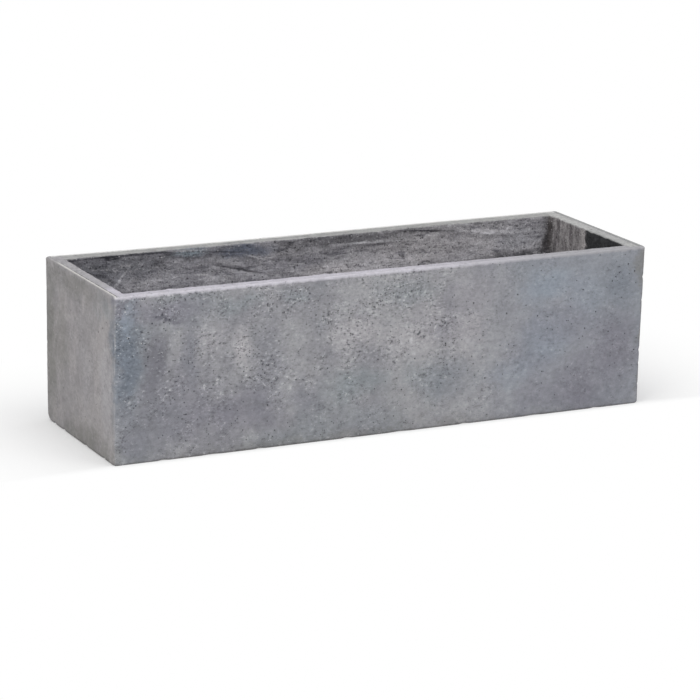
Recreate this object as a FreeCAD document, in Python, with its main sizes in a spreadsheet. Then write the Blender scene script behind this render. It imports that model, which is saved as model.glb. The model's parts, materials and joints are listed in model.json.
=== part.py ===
"""A window box planter: a long, plain trough of fibre-reinforced concrete.

The trough is cast by hand in two coats. A smooth face coat goes into the mould first, sheets of
glass-fibre scrim are pressed onto it, and a rougher fibre backing is packed over them. On the rim
the two coats show as two strips with a fine seam between them. Three drain holes go through the
floor, each closed from inside by a rubber plug that pulls straight up.

Millimetres. The origin is the middle of the underside, +X runs along the box and +Z is up.
"""

import FreeCAD
import Part
import Sketcher
import math
import os

NODE_FOLDER = "parts"
DRAIN_COUNT = 3
PLUG_NAMES = ("drain_plug_left", "drain_plug_centre", "drain_plug_right")

DIMENSIONS = {
    # The outside of the trough.
    "rim_length": 800,
    "rim_width": 254,
    "box_height": 229,
    "side_draft": 4,  # each long side leans in by this much at the base
    "corner_radius": 4,  # upright outer edges
    "base_edge_radius": 3,
    "rim_edge_radius": 2,
    # The wall, its two coats and the planting space.
    "wall_thickness": 21,
    "floor_thickness": 24,
    "coat_thickness": 6,
    "seam_drop": 0.6,  # the backing stops this far under the face coat's edge
    "inner_draft": 1,  # the planting space narrows by this much on each side at the floor
    "inner_corner_radius": 4,
    "inner_cove_radius": 5,
    "inner_rim_radius": 2.5,
    # The glass-fibre scrim between the coats.
    "scrim_thickness": 0.8,
    "scrim_below_rim": 30,
    "scrim_end_width": 216,
    # The drain holes.
    "drain_radius": 11,
    "drain_pitch": 260,
    "drain_chamfer": 2,
    # The rubber plugs.
    "plug_clearance": 0.4,
    "plug_rib_height": 0.3,
    "plug_rib_width": 2,
    "plug_rib_pitch": 6,
    "plug_stem_length": 19,
    "plug_tip_taper": 1.5,
    "plug_head_radius": 17,
    "plug_head_height": 3.5,
    "plug_tab_radius": 8,
    "plug_tab_thickness": 4,
    "plug_eye_radius": 2.5,
    "plug_eye_rise": 3.7,
    "plug_soft_edge": 0.8,
}

# Heights and thicknesses as expressions of the sheet.
BASE = "0 mm"
TOP = "Dimensions.box_height * 1 mm"
COAT = "Dimensions.coat_thickness * 1 mm"
FLOOR = "Dimensions.floor_thickness * 1 mm"
SCRIM = "Dimensions.scrim_thickness * 1 mm"
ON_SCRIM = f"({COAT} + {SCRIM})"
BACKING_TOP = "(Dimensions.box_height - Dimensions.seam_drop) * 1 mm"
SCRIM_TOP = "(Dimensions.box_height - Dimensions.scrim_below_rim) * 1 mm"

doc = FreeCAD.newDocument("WindowBoxPlanter")
sheet = doc.addObject("Spreadsheet::Sheet", "Dimensions")
for row, (alias, value) in enumerate(DIMENSIONS.items(), start=1):
    sheet.set(f"A{row}", alias)
    sheet.set(f"B{row}", str(value))
    sheet.setAlias(f"B{row}", alias)
doc.recompute()


def size(alias):
    """A driving dimension's number, read from the sheet."""
    return float(getattr(sheet, alias))


def shell_length(inset):
    """The trough's outside length, set in by inset at both ends."""
    return f"Dimensions.rim_length * 1 mm - 2 * ({inset})"


def shell_level(inset, height):
    """A height and the drafted outside's width there, set in by inset on both sides."""
    lean = f"Dimensions.side_draft * (1 - ({height}) / ({TOP})) * 1 mm"
    return height, f"Dimensions.rim_width * 1 mm - 2 * ({lean}) - 2 * ({inset})"


def new_sketch(body, name, plane="XY_Plane", height=None):
    """An empty sketch on one of a body's own planes, lifted to a height."""
    sketch = body.newObject("Sketcher::SketchObject", name)
    support = next(feature for feature in body.Origin.OriginFeatures if feature.Role == plane)
    sketch.AttachmentSupport = [(support, "")]
    sketch.MapMode = "FlatFace"
    if height:
        sketch.setExpression("AttachmentOffset.Base.z", height)
    return sketch


def dimension(sketch, name, expression, *constraint):
    """Adds a dimensional constraint and ties it to the sheet."""
    index = sketch.addConstraint(Sketcher.Constraint(*constraint))
    sketch.renameConstraint(index, name)
    sketch.setExpression(f"Constraints.{name}", expression)


def prism(body, name, kind, length, levels):
    """A pad or a pocket along X whose cross-section is wider at the upper level than at the lower.

    Each level is a pair of expressions, its height and the width there.
    """
    sketch = new_sketch(body, f"{name}_section", plane="YZ_Plane")
    (low, low_width), (high, high_width) = levels
    y, z_low, z_high = 110.0, 10.0, 200.0  # rough sizes, which the constraints then set
    corners = [FreeCAD.Vector(*at, 0) for at in ((-y, z_low), (y, z_low), (y, z_high), (-y, z_high))]
    for begin, finish in zip(corners, corners[1:] + corners[:1]):
        sketch.addGeometry(Part.LineSegment(begin, finish))
    for line in range(4):
        sketch.addConstraint(Sketcher.Constraint("Coincident", line, 2, (line + 1) % 4, 1))
    for line in (0, 2):
        sketch.addConstraint(Sketcher.Constraint("Symmetric", line, 1, line, 2, -2))
    dimension(sketch, "low", low, "DistanceY", -1, 1, 0, 1, z_low)
    dimension(sketch, "high", high, "DistanceY", -1, 1, 2, 1, z_high)
    dimension(sketch, "low_width", low_width, "DistanceX", 0, 1, 0, 2, 2 * y)
    dimension(sketch, "high_width", high_width, "DistanceX", 2, 2, 2, 1, 2 * y)
    doc.recompute()
    solid = body.newObject(f"PartDesign::{kind}", name)
    solid.Profile = sketch
    solid.Midplane = True
    solid.setExpression("Length", length)
    doc.recompute()
    return solid


def edges_at(feature, accept):
    """Names of the feature's edges that are accepted, by the edge and its middle point."""
    names = []
    for number, edge in enumerate(feature.Shape.Edges, start=1):
        middle = edge.valueAt((edge.FirstParameter + edge.LastParameter) / 2)
        if accept(edge, middle):
            names.append(f"Edge{number}")
    return names


def level_edges(feature, height, length=1000, width=1000):
    """Names of the edges that lie level at a height, inside a rectangle seen from above."""
    near = 0.01
    return edges_at(
        feature,
        lambda edge, middle: abs(edge.BoundBox.ZMin - height) < near
        and abs(edge.BoundBox.ZMax - height) < near
        and abs(middle.x) < length / 2
        and abs(middle.y) < width / 2,
    )


def corner_edges(feature, inset=0.0):
    """Names of the tall edges at the four corners of a space that is inset from the ends."""
    reach = size("rim_length") / 2 - inset
    tall = size("box_height") / 2
    return edges_at(
        feature,
        lambda edge, middle: edge.BoundBox.ZLength > tall and abs(abs(middle.x) - reach) < 0.01,
    )


def dress(kind, body, name, feature, edges, expression):
    """A fillet or a chamfer in a body on named edges, its size tied to the sheet."""
    dressed = body.newObject(f"PartDesign::{kind}", name)
    dressed.Base = (feature, edges)
    dressed.setExpression("Radius" if kind == "Fillet" else "Size", expression)
    doc.recompute()
    return dressed


def drill_drains(body, base):
    """The row of drain holes through the floor of a body. Returns the last feature."""
    before = base.Shape.Volume
    sketch = new_sketch(body, f"{body.Name}_drain_circle")
    sketch.addGeometry(Part.Circle(FreeCAD.Vector(-250, 0, 0), FreeCAD.Vector(0, 0, 1), 10))
    reach = f"{(DRAIN_COUNT - 1) / 2} * Dimensions.drain_pitch * 1 mm"
    dimension(sketch, "radius", "Dimensions.drain_radius * 1 mm", "Radius", 0, 10)
    dimension(sketch, "first_drain", reach, "DistanceX", 0, 3, -1, 1, 250)
    sketch.addConstraint(Sketcher.Constraint("PointOnObject", 0, 3, -1))
    hole = body.newObject("PartDesign::Pocket", f"{body.Name}_drain_hole")
    hole.Profile = sketch
    hole.Type = "ThroughAll"
    hole.Midplane = True
    doc.recompute()
    row_of_holes = body.newObject("PartDesign::LinearPattern", f"{body.Name}_drain_row")
    row_of_holes.Originals = [hole]
    row_of_holes.Direction = (sketch, ["H_Axis"])
    row_of_holes.Occurrences = DRAIN_COUNT
    row_of_holes.setExpression("Length", f"{DRAIN_COUNT - 1} * Dimensions.drain_pitch * 1 mm")
    body.Tip = row_of_holes
    doc.recompute()
    if row_of_holes.Shape.Volume >= before:
        raise RuntimeError(f"the drain holes of {body.Label} cut nothing")
    return row_of_holes


def make_face_coat():
    """The smooth outer coat: four thin walls and a thin floor, with worn-round outer edges."""
    body = doc.addObject("PartDesign::Body", "face_coat")
    corner = "Dimensions.corner_radius * 1 mm"
    levels = [shell_level("0 mm", BASE), shell_level("0 mm", TOP)]
    block = prism(body, "coat_block", "Pad", shell_length("0 mm"), levels)
    cornered = dress("Fillet", body, "outer_corners", block, corner_edges(block), corner)
    base_edge = level_edges(cornered, 0)
    based = dress("Fillet", body, "base_edge", cornered, base_edge, "Dimensions.base_edge_radius * 1 mm")
    rim_edge = level_edges(based, size("box_height"))
    dress("Fillet", body, "rim_edge", based, rim_edge, "Dimensions.rim_edge_radius * 1 mm")
    bed_levels = [shell_level(COAT, COAT), shell_level(COAT, TOP)]
    bed = prism(body, "backing_bed", "Pocket", shell_length(COAT), bed_levels)
    bed_corners = corner_edges(bed, size("coat_thickness"))
    bedded = dress("Fillet", body, "bed_corners", bed, bed_corners, corner)
    holed = drill_drains(body, bedded)
    mouths = level_edges(holed, 0, size("rim_length"), 3 * size("drain_radius"))
    dress("Chamfer", body, "drain_mouths", holed, mouths, "Dimensions.drain_chamfer * 1 mm")
    return body


def make_scrim_layer():
    """The thin tray that all of the scrim together fills, between the coats."""
    corner = "Dimensions.corner_radius * 1 mm"
    thick = size("coat_thickness")
    sides = []
    for name, inset, reach, radius in (
        ("scrim_outside", COAT, thick, corner),
        ("scrim_inside", ON_SCRIM, thick + size("scrim_thickness"), f"{corner} - {SCRIM}"),
    ):
        body = doc.addObject("PartDesign::Body", name)
        levels = [shell_level(inset, inset), shell_level(inset, SCRIM_TOP)]
        block = prism(body, f"{name}_block", "Pad", shell_length(inset), levels)
        dress("Fillet", body, f"{name}_corners", block, corner_edges(block, reach), radius)
        sides.append(body)
    return combine("Cut", "scrim_layer", *sides)


def make_fibre_backing(scrim_layer):
    """The rough inner coat, which holds the planting space and lies on the scrim."""
    body = doc.addObject("PartDesign::Body", "backing_body")
    corner = "Dimensions.corner_radius * 1 mm"
    levels = [shell_level(COAT, COAT), shell_level(COAT, BACKING_TOP)]
    block = prism(body, "backing_block", "Pad", shell_length(COAT), levels)
    block_corners = corner_edges(block, size("coat_thickness"))
    dress("Fillet", body, "backing_corners", block, block_corners, corner)
    wall = "Dimensions.wall_thickness * 1 mm"
    mouth_width = f"Dimensions.rim_width * 1 mm - 2 * {wall}"
    floor_width = f"{mouth_width} - 2 * Dimensions.inner_draft * 1 mm"
    hollow_levels = [(FLOOR, floor_width), (BACKING_TOP, mouth_width)]
    hollow = prism(body, "planting_space", "Pocket", shell_length(wall), hollow_levels)
    inner = corner_edges(hollow, size("wall_thickness"))
    radius = "Dimensions.inner_corner_radius * 1 mm"
    hollowed = dress("Fillet", body, "planting_corners", hollow, inner, radius)
    cove = level_edges(hollowed, size("floor_thickness"))
    coved = dress("Fillet", body, "floor_cove", hollowed, cove, "Dimensions.inner_cove_radius * 1 mm")
    length = size("rim_length") - 2 * size("wall_thickness") + 2
    width = size("rim_width") - 2 * size("wall_thickness") + 2
    mouth = level_edges(coved, size("box_height") - size("seam_drop"), length, width)
    mouthed = dress("Fillet", body, "mouth_edge", coved, mouth, "Dimensions.inner_rim_radius * 1 mm")
    drill_drains(body, mouthed)
    return combine("Cut", "fibre_backing", body, scrim_layer)


def combine(kind, name, *shapes):
    """A boolean of whole shapes: a cut of two, or a fuse or common of several."""
    result = doc.addObject(f"Part::{kind}", name)
    if kind == "Cut":
        result.Base, result.Tool = shapes
    else:
        result.Shapes = list(shapes)
    doc.recompute()
    return result


def slice_box(name, corner, sizes):
    """A box whose corner and sizes are expressions of the sheet."""
    box = doc.addObject("Part::Box", name)
    for axis, expression in zip("xyz", corner):
        box.setExpression(f"Placement.Base.{axis}", expression)
    for side, expression in zip(("Length", "Width", "Height"), sizes):
        box.setExpression(side, expression)
    doc.recompute()
    return box


def drain_place(number):
    """The expression for the X position of a drain, counted from the left."""
    return f"({number} - {(DRAIN_COUNT - 1) / 2}) * Dimensions.drain_pitch * 1 mm"


def make_scrims(layer):
    """Five sheets of scrim, parted from the layer: the floor, both ends and both long sides."""
    half_length = "Dimensions.rim_length * 0.5 mm"
    length = "Dimensions.rim_length * 1 mm"
    half_width = "Dimensions.rim_width * 0.5 mm"
    width = "Dimensions.rim_width * 1 mm"
    end_width = "Dimensions.scrim_end_width * 1 mm"
    left_start = f"{COAT} - {half_length}"
    right_start = f"{half_length} - {ON_SCRIM}"
    floor_slice = slice_box("floor_slice", (f"-{half_length}", f"-{half_width}", COAT), (length, width, SCRIM))
    ends = [
        slice_box(name, (start, f"-{end_width} / 2", ON_SCRIM), (SCRIM, end_width, TOP))
        for name, start in (("left_end_slice", left_start), ("right_end_slice", right_start))
    ]
    halves = [
        slice_box(name, (f"-{half_length}", start, BASE), (length, half_width, TOP))
        for name, start in (("front_half", f"-{half_width}"), ("back_half", BASE))
    ]
    cutters = []
    for number in range(DRAIN_COUNT):
        cutter = doc.addObject("Part::Cylinder", f"drain_cutter_{number + 1}")
        cutter.setExpression("Placement.Base.x", drain_place(number))
        cutter.setExpression("Radius", "Dimensions.drain_radius * 1 mm")
        cutter.setExpression("Height", FLOOR)
        cutters.append(cutter)
    drains = combine("MultiFuse", "drain_cutters", *cutters)
    taken = combine("MultiFuse", "floor_and_ends", floor_slice, *ends)
    floor_sheet = combine("MultiCommon", "floor_sheet", layer, floor_slice)
    scrims = [combine("Cut", "scrim_floor", floor_sheet, drains)]
    for name, end in zip(("scrim_left_end", "scrim_right_end"), ends):
        scrims.append(combine("MultiCommon", name, layer, end))
    for name, half in zip(("scrim_front", "scrim_back"), halves):
        scrims.append(combine("Cut", name, combine("MultiCommon", f"{name}_half", layer, half), taken))
    return scrims


def plug_profile():
    """The plug's half section as pairs of expressions, across from its axis and up from the floor."""
    stem = "(Dimensions.drain_radius - Dimensions.plug_clearance)"
    rib = f"({stem} + Dimensions.plug_rib_height)"
    tip = f"({stem} - Dimensions.plug_tip_taper)"
    head = "Dimensions.plug_head_radius"
    top = "Dimensions.plug_head_height"
    end = "-Dimensions.plug_stem_length"
    half_rib = "Dimensions.plug_rib_width / 2"
    profile = [("0", top), (head, top), (head, "0"), (stem, "0")]
    for order in (1, 2):
        middle = f"-{order} * Dimensions.plug_rib_pitch"
        profile += [(stem, f"{middle} + {half_rib}"), (rib, middle), (stem, f"{middle} - {half_rib}")]
    profile += [(stem, f"{end} + 2 * Dimensions.plug_tip_taper"), (tip, end), ("0", end)]
    return profile


def make_plug(name, number):
    """A rubber plug: a ribbed stem, a flat head that lies on the floor, and a tab to pull."""
    body = doc.addObject("PartDesign::Body", name)
    body.setExpression("Placement.Base.x", drain_place(number))
    body.setExpression("Placement.Base.z", FLOOR)
    section = new_sketch(body, f"{name}_section", plane="XZ_Plane")
    profile = plug_profile()
    points = [
        FreeCAD.Vector(*(float(sheet.evalExpression(part)) for part in pair), 0) for pair in profile
    ]
    for begin, finish in zip(points, points[1:] + points[:1]):
        section.addGeometry(Part.LineSegment(begin, finish))
    for line, (across, up) in enumerate(profile):
        section.addConstraint(Sketcher.Constraint("Coincident", line, 2, (line + 1) % len(profile), 1))
        at = points[line]
        dimension(section, f"across_{line}", f"{across} * 1 mm", "DistanceX", -1, 1, line, 1, at.x)
        dimension(section, f"up_{line}", f"({up}) * 1 mm", "DistanceY", -1, 1, line, 1, at.y)
    doc.recompute()
    turned = body.newObject("PartDesign::Revolution", f"{name}_turned")
    turned.Profile = section
    turned.ReferenceAxis = (section, ["V_Axis"])
    turned.Angle = 360
    doc.recompute()
    soft_edge = "Dimensions.plug_soft_edge * 1 mm"
    head_edge = level_edges(turned, size("plug_head_height"))
    dress("Fillet", body, f"{name}_head_edge", turned, head_edge, soft_edge)
    tabbed = add_pull_tab(body, name)
    round_edges = edges_at(
        tabbed,
        lambda edge, middle: abs(abs(middle.y) - size("plug_tab_thickness") / 2) < 0.01
        and middle.z > size("plug_head_height") + 1,
    )
    dress("Fillet", body, f"{name}_tab_edges", tabbed, round_edges, soft_edge)
    return body


def add_pull_tab(body, name):
    """An upright half-round tab with an eye, standing on a plug's head. Returns its pad."""
    outline = new_sketch(body, f"{name}_tab_outline", plane="XZ_Plane")
    radius, top = 8.0, 3.5  # rough sizes, which the constraints then set
    out, up = FreeCAD.Vector(radius, 0, 0), FreeCAD.Vector(0, top, 0)
    turn = FreeCAD.Vector(0, 0, 1)
    outline.addGeometry(Part.ArcOfCircle(Part.Circle(up, turn, radius), 0, math.pi))
    outline.addGeometry(Part.LineSegment(up - out, up * 0.5 - out))
    outline.addGeometry(Part.LineSegment(up * 0.5 - out, up * 0.5 + out))
    outline.addGeometry(Part.LineSegment(up * 0.5 + out, up + out))
    outline.addGeometry(Part.Circle(up * 2, turn, 2.5))
    outline.addConstraint(Sketcher.Constraint("Tangent", 0, 2, 1, 1))
    outline.addConstraint(Sketcher.Constraint("Coincident", 1, 2, 2, 1))
    outline.addConstraint(Sketcher.Constraint("Coincident", 2, 2, 3, 1))
    outline.addConstraint(Sketcher.Constraint("Tangent", 3, 2, 0, 1))
    outline.addConstraint(Sketcher.Constraint("Vertical", 1))
    outline.addConstraint(Sketcher.Constraint("Horizontal", 2))
    outline.addConstraint(Sketcher.Constraint("Vertical", 3))
    outline.addConstraint(Sketcher.Constraint("PointOnObject", 0, 3, -2))
    outline.addConstraint(Sketcher.Constraint("PointOnObject", 4, 3, -2))
    head = "Dimensions.plug_head_height * 1 mm"
    eye_height = f"{head} + Dimensions.plug_eye_rise * 1 mm"
    dimension(outline, "tab_radius", "Dimensions.plug_tab_radius * 1 mm", "Radius", 0, radius)
    dimension(outline, "eye_radius", "Dimensions.plug_eye_radius * 1 mm", "Radius", 4, 2.5)
    dimension(outline, "head", head, "DistanceY", -1, 1, 0, 3, top)
    dimension(outline, "root", f"{head} / 2", "DistanceY", -1, 1, 2, 1, top / 2)
    dimension(outline, "eye_height", eye_height, "DistanceY", -1, 1, 4, 3, top * 2)
    doc.recompute()
    tab = body.newObject("PartDesign::Pad", f"{name}_tab")
    tab.Profile = outline
    tab.Midplane = True
    tab.setExpression("Length", "Dimensions.plug_tab_thickness * 1 mm")
    doc.recompute()
    return tab


face_coat = make_face_coat()
layer = make_scrim_layer()
fibre_backing = make_fibre_backing(layer)
scrims = make_scrims(layer)
plugs = [make_plug(name, number) for number, name in enumerate(PLUG_NAMES)]
nodes = [face_coat, fibre_backing, *scrims, *plugs]
doc.recompute()

faults = [f"{item.Name}: {item.State}" for item in doc.Objects if {"Invalid", "Error"} & set(item.State)]
for node in nodes:
    if node.Shape.isNull() or not node.Shape.isValid():
        faults.append(f"{node.Label}: no valid shape")
    elif len(node.Shape.Solids) != 1:
        faults.append(f"{node.Label}: {len(node.Shape.Solids)} solids")
if faults:
    raise RuntimeError("; ".join(faults))

os.makedirs("parts", exist_ok=True)
for node in nodes:
    node.Shape.exportStep(os.path.join(NODE_FOLDER, f"{node.Label}.step"))
    print(node.Label, round(node.Shape.Volume), "mm3")
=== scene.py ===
"""A long concrete window box planter, cast in two coats with glass-fibre scrim between them.

The face coat and the fibre backing are modelled here over their plain castings. The scrim sheets
and the drain plugs keep their shapes and get their finishes. Metres: +X is the right end, +Z is up.
"""

import json
import math
import random

import bmesh
import bpy
from mathutils import Matrix, Vector, kdtree, noise

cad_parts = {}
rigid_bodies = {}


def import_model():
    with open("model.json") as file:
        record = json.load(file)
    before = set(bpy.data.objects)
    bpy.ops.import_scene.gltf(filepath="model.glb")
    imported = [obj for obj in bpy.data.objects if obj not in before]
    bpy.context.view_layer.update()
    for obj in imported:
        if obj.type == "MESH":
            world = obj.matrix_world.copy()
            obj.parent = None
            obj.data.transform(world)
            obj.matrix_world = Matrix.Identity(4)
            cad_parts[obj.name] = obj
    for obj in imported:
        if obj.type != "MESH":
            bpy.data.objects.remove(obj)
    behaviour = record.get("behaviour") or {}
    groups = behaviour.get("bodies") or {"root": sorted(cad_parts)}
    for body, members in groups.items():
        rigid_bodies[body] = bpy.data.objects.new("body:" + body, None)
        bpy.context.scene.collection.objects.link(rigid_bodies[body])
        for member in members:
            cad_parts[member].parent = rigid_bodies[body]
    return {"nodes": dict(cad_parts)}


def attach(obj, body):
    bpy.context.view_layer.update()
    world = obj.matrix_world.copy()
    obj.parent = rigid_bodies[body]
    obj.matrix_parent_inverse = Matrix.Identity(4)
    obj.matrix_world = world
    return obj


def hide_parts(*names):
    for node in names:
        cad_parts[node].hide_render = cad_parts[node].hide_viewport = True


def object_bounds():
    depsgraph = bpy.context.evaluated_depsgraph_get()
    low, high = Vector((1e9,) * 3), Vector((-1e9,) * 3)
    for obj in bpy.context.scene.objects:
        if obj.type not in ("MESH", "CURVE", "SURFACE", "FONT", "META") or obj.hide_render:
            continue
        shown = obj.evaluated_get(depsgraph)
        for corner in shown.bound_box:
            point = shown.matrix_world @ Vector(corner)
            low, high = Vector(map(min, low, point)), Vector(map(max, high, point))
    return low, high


for leftover in list(bpy.data.objects):
    bpy.data.objects.remove(leftover)

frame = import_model()
CAD_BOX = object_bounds()
MM = 0.001

# The trough's sizes, as the casting has them.
LENGTH, WIDTH, HEIGHT = 800 * MM, 254 * MM, 229 * MM
SIDE_DRAFT = 4 * MM  # each long side leans in by this much at the base
CORNER_RADIUS, BASE_RADIUS, RIM_RADIUS = 4 * MM, 3 * MM, 2 * MM
COAT, SCRIM, WALL, FLOOR = 6 * MM, 0.8 * MM, 21 * MM, 24 * MM
BACKING_TOP = HEIGHT - 0.6 * MM
SCRIM_TOP = HEIGHT - 30 * MM
INNER_DRAFT = 1 * MM
COVE_RADIUS, MOUTH_RADIUS = 5 * MM, 2.5 * MM
SEAM_EDGE = 0.5 * MM  # the small rounding on both sides of the seam in the rim
DRAIN_RADIUS, DRAIN_CHAMFER, DRAIN_PITCH = 11 * MM, 2 * MM, 260 * MM
PLUG_HEAD_RADIUS = 17 * MM

CORNER_STEPS = 4
ROUNDING_ANGLES = (30, 60, 90)
FINE_EDGE = 5 * MM  # edges shorter than this aren't parted any further
FACETED = math.radians(50)  # steeper folds than this stay crisp

# ---------------------------------------------------------------- shaping


def outside_width(height, inset=0.0):
    """The trough's width at a height, set in by inset on both sides."""
    return WIDTH - 2 * SIDE_DRAFT * (1 - height / HEIGHT) - 2 * inset


def at(*place):
    """A place given in millimetres."""
    return Vector(place) * MM


def pick(piece, kind, accept):
    """Selects the faces, edges or points of a piece in edit mode that accept takes."""
    bpy.ops.mesh.select_mode(type=kind)
    bpy.ops.mesh.select_all(action="DESELECT")
    mesh = bmesh.from_edit_mesh(piece.data)
    items = {"VERT": mesh.verts, "EDGE": mesh.edges, "FACE": mesh.faces}[kind]
    for item in [item for item in items if accept(item)]:
        item.select_set(True)
    mesh.select_flush_mode()
    bmesh.update_edit_mesh(piece.data)


def middle(edge):
    """The point halfway along an edge."""
    return (edge.verts[0].co + edge.verts[1].co) / 2


def runs_along(edge, axis):
    """Whether an edge is long enough to part again and runs along an axis."""
    run = edge.verts[1].co - edge.verts[0].co
    return run.length > FINE_EDGE and abs(run[axis]) > 0.99 * run.length


def part(piece, axis, rounds, accept=lambda edge: True):
    """Parts the edges that run along an axis into rounds[0] cells, and each cell into rounds[1]."""
    for cells in rounds:
        pick(piece, "EDGE", lambda edge: runs_along(edge, axis) and accept(edge))
        bpy.ops.mesh.subdivide(number_cuts=cells - 1)


class Ring:
    """The open edge of a piece that is drawn up, ring by ring, from a rectangle with round corners."""

    def __init__(self, name, length, width, height, long_cells, wide_cells):
        bpy.ops.object.select_all(action="DESELECT")
        bpy.ops.mesh.primitive_plane_add(size=1, location=(0, 0, height))
        self.piece = bpy.context.object
        self.piece.name = self.piece.data.name = name
        self.piece.scale = (length, width, 1)
        bpy.ops.object.transform_apply(location=True, rotation=True, scale=True)
        bpy.ops.object.mode_set(mode="EDIT")
        bpy.ops.mesh.select_all(action="SELECT")
        bpy.ops.mesh.bevel(offset=CORNER_RADIUS, segments=CORNER_STEPS, affect="VERTICES")
        bpy.ops.mesh.delete(type="ONLY_FACE")
        part(self.piece, 0, long_cells)
        part(self.piece, 1, wide_cells)
        bpy.ops.mesh.select_all(action="SELECT")
        self.length, self.width, self.height = length, width, height

    def draw_to(self, length, width, height):
        """Extrudes the ring to a new height and size."""
        rise = (0, 0, height - self.height)
        bpy.ops.mesh.extrude_region_move(TRANSFORM_OT_translate={"value": rise})
        scale = (length / self.length, width / self.width, 1)
        bpy.ops.transform.resize(value=scale, center_override=(0, 0, height))
        self.length, self.width, self.height = length, width, height

    def inset_to(self, inset, height):
        """Draws the ring to a height, set in from the trough's outside by inset."""
        self.draw_to(LENGTH - 2 * inset, outside_width(height, inset), height)


def cap_underside(piece, height):
    """Closes the lowest ring of a piece, then turns every face outwards."""
    pick(piece, "VERT", lambda point: point.co.z < height + 0.01 * MM)
    bpy.ops.mesh.edge_face_add()
    bpy.ops.mesh.select_all(action="SELECT")
    bpy.ops.mesh.normals_make_consistent(inside=False)


def draw_face_coat():
    """The smooth outer coat: its rounded base, the outer faces, the rim strip and the bed inside."""
    width = outside_width(0, BASE_RADIUS)
    ring = Ring("outer_face_coat", LENGTH - 2 * BASE_RADIUS, width, 0, (16, 18), (9, 10))
    for angle in ROUNDING_ANGLES:
        turn = math.radians(angle)
        ring.inset_to(BASE_RADIUS * (1 - math.sin(turn)), BASE_RADIUS * (1 - math.cos(turn)))
    ring.inset_to(0, HEIGHT - RIM_RADIUS)
    for angle in ROUNDING_ANGLES:
        turn = math.radians(angle)
        inset = RIM_RADIUS * (1 - math.cos(turn))
        ring.inset_to(inset, HEIGHT - RIM_RADIUS * (1 - math.sin(turn)))
    ring.inset_to((RIM_RADIUS + COAT - SEAM_EDGE) / 2, HEIGHT)
    ring.inset_to(COAT - SEAM_EDGE, HEIGHT)
    ring.inset_to(COAT, HEIGHT - SEAM_EDGE)
    ring.inset_to(COAT, COAT)
    bpy.ops.mesh.edge_face_add()
    part(ring.piece, 2, (8, 10), lambda edge: outside_share(middle(edge)) == 1)
    cap_underside(ring.piece, 0)
    bpy.ops.object.mode_set(mode="OBJECT")
    return ring.piece


def draw_fibre_backing():
    """The rough inner coat: a block stepped in for the scrim, its top strip and the planting space."""
    step = COAT + SCRIM
    ring = Ring("inner_fibre_backing", LENGTH - 2 * step, outside_width(step, step), step, (12, 22), (8, 10))
    ring.inset_to(step, SCRIM_TOP)
    ring.inset_to(COAT, SCRIM_TOP)
    ring.inset_to(COAT, BACKING_TOP - SEAM_EDGE)
    ring.inset_to(COAT + SEAM_EDGE, BACKING_TOP)
    strip = WALL - MOUTH_RADIUS - COAT - SEAM_EDGE
    for share in (0.25, 0.5, 0.75):
        ring.inset_to(COAT + SEAM_EDGE + share * strip, BACKING_TOP)
    mouth_length, mouth_width = LENGTH - 2 * WALL, WIDTH - 2 * WALL
    for angle in (0,) + ROUNDING_ANGLES:
        turn = math.radians(angle)
        out = 2 * MOUTH_RADIUS * (1 - math.sin(turn))
        height = BACKING_TOP - MOUTH_RADIUS * (1 - math.cos(turn))
        ring.draw_to(mouth_length + out, mouth_width + out, height)
    for angle in (0,) + ROUNDING_ANGLES:
        turn = math.radians(angle)
        into = 2 * COVE_RADIUS * (1 - math.cos(turn))
        height = FLOOR + COVE_RADIUS * (1 - math.sin(turn))
        ring.draw_to(mouth_length - into, mouth_width - 2 * INNER_DRAFT - into, height)
    fill_floor(ring.piece, 12 * 22 + CORNER_STEPS)
    part(ring.piece, 2, (7, 10), lambda edge: inside_share(middle(edge)) > 0)
    cap_underside(ring.piece, step)
    bpy.ops.object.mode_set(mode="OBJECT")
    return ring.piece


def fill_floor(backing, cells):
    """Fills the selected ring with a grid, whose corners lie in the middle of the round corners."""
    mesh = bmesh.from_edit_mesh(backing.data)
    ring = [point for point in mesh.verts if point.select]
    corner = min(ring, key=lambda point: point.co.x + point.co.y)
    mesh.select_history.clear()
    mesh.select_history.add(corner)
    bmesh.update_edit_mesh(backing.data)
    bpy.ops.mesh.fill_grid(span=cells, offset=0)


def outside_share(place):
    """1 on the trough's outer faces, 0.3 on the rim strip of the face coat, 0 elsewhere."""
    reach = max(abs(place.x) - LENGTH / 2, abs(place.y) - outside_width(place.z) / 2)
    if place.z > HEIGHT - RIM_RADIUS and reach > -COAT - SEAM_EDGE:
        return 0.3
    return 1.0 if reach > -RIM_RADIUS else 0.0


def inside_share(place):
    """1 on the planting space's walls and floor, 0.25 on the backing's top strip, 0 elsewhere."""
    if place.z > BACKING_TOP - SEAM_EDGE / 2:
        return 0.25
    in_length = abs(place.x) < LENGTH / 2 - WALL + MOUTH_RADIUS
    in_width = abs(place.y) < WIDTH / 2 - WALL + MOUTH_RADIUS
    return 1.0 if in_length and in_width and place.z > FLOOR - 1 * MM else 0.0


def ramp(value, low, high):
    """0 up to low, 1 from high, and a straight rise between them."""
    return min(max((value - low) / (high - low), 0.0), 1.0)


def drain_distance(place):
    """How far a place is, seen from above, from the nearest drain's middle."""
    return min(math.hypot(place.x - number * DRAIN_PITCH, place.y) for number in (-1, 0, 1))


def drain_share(place):
    """0 under a plug's head, rising to 1 clear of it."""
    return ramp(drain_distance(place), PLUG_HEAD_RADIUS + 4 * MM, 3 * PLUG_HEAD_RADIUS)


def mask(piece, name, share_at):
    """A vertex group that holds each point's share, by its place."""
    group = piece.vertex_groups.new(name=name)
    for point in piece.data.vertices:
        share = share_at(point.co)
        if share > 0:
            group.add([point.index], share, "REPLACE")
    return name


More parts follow.
